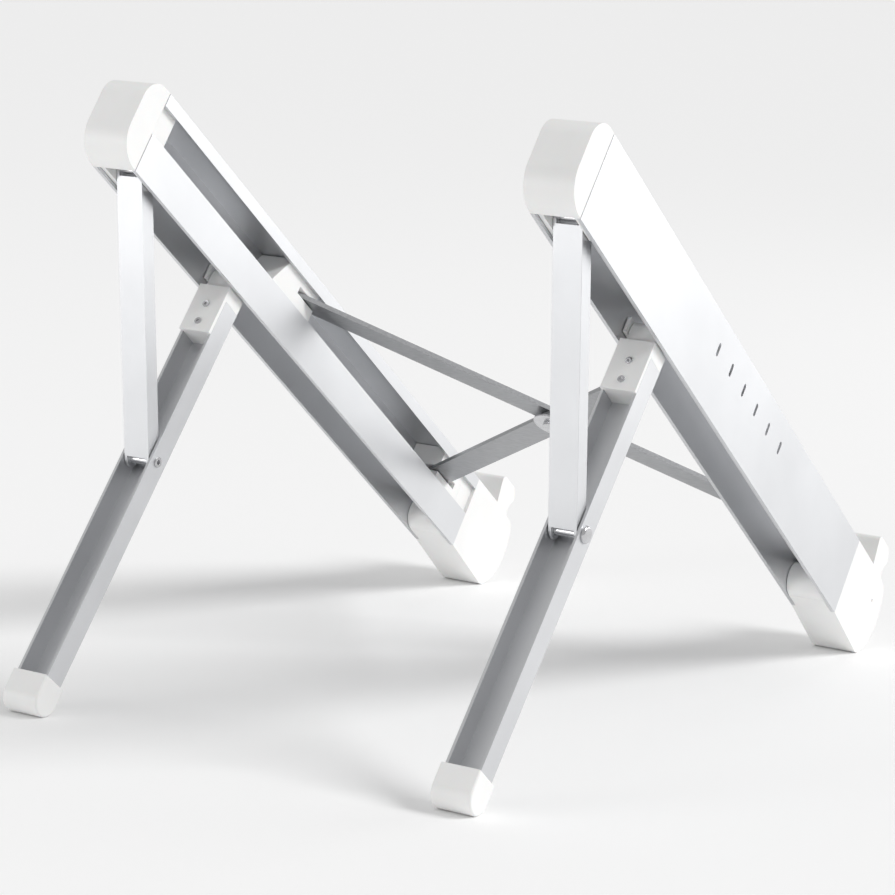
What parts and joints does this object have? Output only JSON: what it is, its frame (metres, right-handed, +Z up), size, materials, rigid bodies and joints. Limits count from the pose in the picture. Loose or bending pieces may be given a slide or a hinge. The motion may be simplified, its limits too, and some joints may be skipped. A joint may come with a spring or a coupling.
{
  "type": "folding laptop stand",
  "caption": "Folding laptop stand: two inclined channel rails on struts and legs, joined by crossed links that close the width, with hooked front stops.",
  "frame": {"origin": "middle of the footprint, on the table", "axes": "+Z up, the user sits at -Y, +X is the user's right"},
  "size_m": [0.168, 0.279, 0.1877],
  "materials": {
    "anodised_rail": "satin anodised",
    "anodised_channel": "satin anodised",
    "link_alloy": "satin",
    "white_abs": "fine moulded",
    "bright_steel": "polished"
  },
  "bodies": {
    "left_frame": {"left_rail": "anodised_rail", "left_rear_cap": "white_abs", "left_front_hook": "white_abs", "left_strut_pin": "bright_steel", "left_front_block": "white_abs", "left_front_pin": "bright_steel"},
    "left_strut_arm": {"left_strut": "anodised_channel"},
    "left_leg_arm": {"left_leg": "anodised_channel", "left_leg_head": "white_abs", "left_head_screws": "bright_steel", "left_foot": "white_abs", "left_knee_pin": "bright_steel", "left_knee_screw": "bright_steel"},
    "left_runner": {"left_height_slider": "white_abs", "left_head_pin": "bright_steel"},
    "left_carriage": {"left_link_carriage": "white_abs", "left_carriage_pin": "bright_steel"},
    "right_frame": {"right_rail": "anodised_rail", "right_rear_cap": "white_abs", "right_front_hook": "white_abs", "right_strut_pin": "bright_steel", "right_front_block": "white_abs", "right_front_pin": "bright_steel"},
    "right_strut_arm": {"right_strut": "anodised_channel"},
    "right_leg_arm": {"right_leg": "anodised_channel", "right_leg_head": "white_abs", "right_head_screws": "bright_steel", "right_foot": "white_abs", "right_knee_pin": "bright_steel", "right_knee_screw": "bright_steel"},
    "right_runner": {"right_height_slider": "white_abs", "right_head_pin": "bright_steel"},
    "right_carriage": {"right_link_carriage": "white_abs", "right_carriage_pin": "bright_steel"},
    "link_a_arm": {"link_a": "link_alloy", "cross_rivet": "bright_steel", "cross_washer": "bright_steel"},
    "link_b_arm": {"link_b": "link_alloy"}
  },
  "joints": [
    {"name": "width_fold", "type": "hinge", "parent": "left_frame", "child": "link_a_arm", "pos_m": [-0.076, -0.09398, 0.04413], "axis": [0, -0.592, 0.8059], "range_deg": [0, 46.01]},
    {"name": "link_cross", "type": "hinge", "parent": "link_a_arm", "child": "link_b_arm", "pos_m": [0, -0.04482, 0.08024], "axis": [0, -0.592, 0.8059], "range_deg": [-92.02, 0]},
    {"name": "right_frame_turn", "type": "hinge", "parent": "link_b_arm", "child": "right_frame", "pos_m": [0.076, -0.09398, 0.04413], "axis": [0, -0.592, 0.8059], "range_deg": [0, 46.01]},
    {"name": "right_carriage_turn", "type": "hinge", "parent": "link_a_arm", "child": "right_carriage", "pos_m": [0.076, 0.00434, 0.11636], "axis": [0, -0.592, 0.8059], "range_deg": [-46.01, 0]},
    {"name": "left_carriage_turn", "type": "hinge", "parent": "link_b_arm", "child": "left_carriage", "pos_m": [-0.076, 0.00434, 0.11636], "axis": [0, -0.592, 0.8059], "range_deg": [0, 46.01]},
    {"name": "left_leg_fold", "type": "hinge", "parent": "left_frame", "child": "left_strut_arm", "pos_m": [-0.076, 0.08953, 0.16119], "axis": [-1, 0, 0], "range_deg": [0, 16.16]},
    {"name": "left_knee", "type": "hinge", "parent": "left_strut_arm", "child": "left_leg_arm", "pos_m": [-0.076, 0.08178, 0.07132], "axis": [-1, 0, 0], "range_deg": [-57.98, 0]},
    {"name": "left_head_turn", "type": "hinge", "parent": "left_leg_arm", "child": "left_runner", "pos_m": [-0.076, 0.03924, 0.12425], "axis": [-1, 0, 0], "range_deg": [0, 41.81]},
    {"name": "right_leg_fold", "type": "hinge", "parent": "right_frame", "child": "right_strut_arm", "pos_m": [0.076, 0.08953, 0.16119], "axis": [-1, 0, 0], "range_deg": [0, 16.16]},
    {"name": "right_knee", "type": "hinge", "parent": "right_strut_arm", "child": "right_leg_arm", "pos_m": [0.076, 0.08178, 0.07132], "axis": [-1, 0, 0], "range_deg": [-57.98, 0]},
    {"name": "right_head_turn", "type": "hinge", "parent": "right_leg_arm", "child": "right_runner", "pos_m": [0.076, 0.03924, 0.12425], "axis": [-1, 0, 0], "range_deg": [0, 41.81]}
  ],
  "couplings": [
    {"joint": "link_cross", "follows": "width_fold", "ratio": -2},
    {"joint": "right_frame_turn", "follows": "width_fold", "ratio": 1},
    {"joint": "right_carriage_turn", "follows": "width_fold", "ratio": -1},
    {"joint": "left_carriage_turn", "follows": "width_fold", "ratio": 1},
    {"joint": "left_knee", "follows": "left_leg_fold", "ratio": -3.5859},
    {"joint": "left_head_turn", "follows": "left_leg_fold", "ratio": 2.5859},
    {"joint": "right_knee", "follows": "right_leg_fold", "ratio": -3.5859},
    {"joint": "right_head_turn", "follows": "right_leg_fold", "ratio": 2.5859}
  ]
}
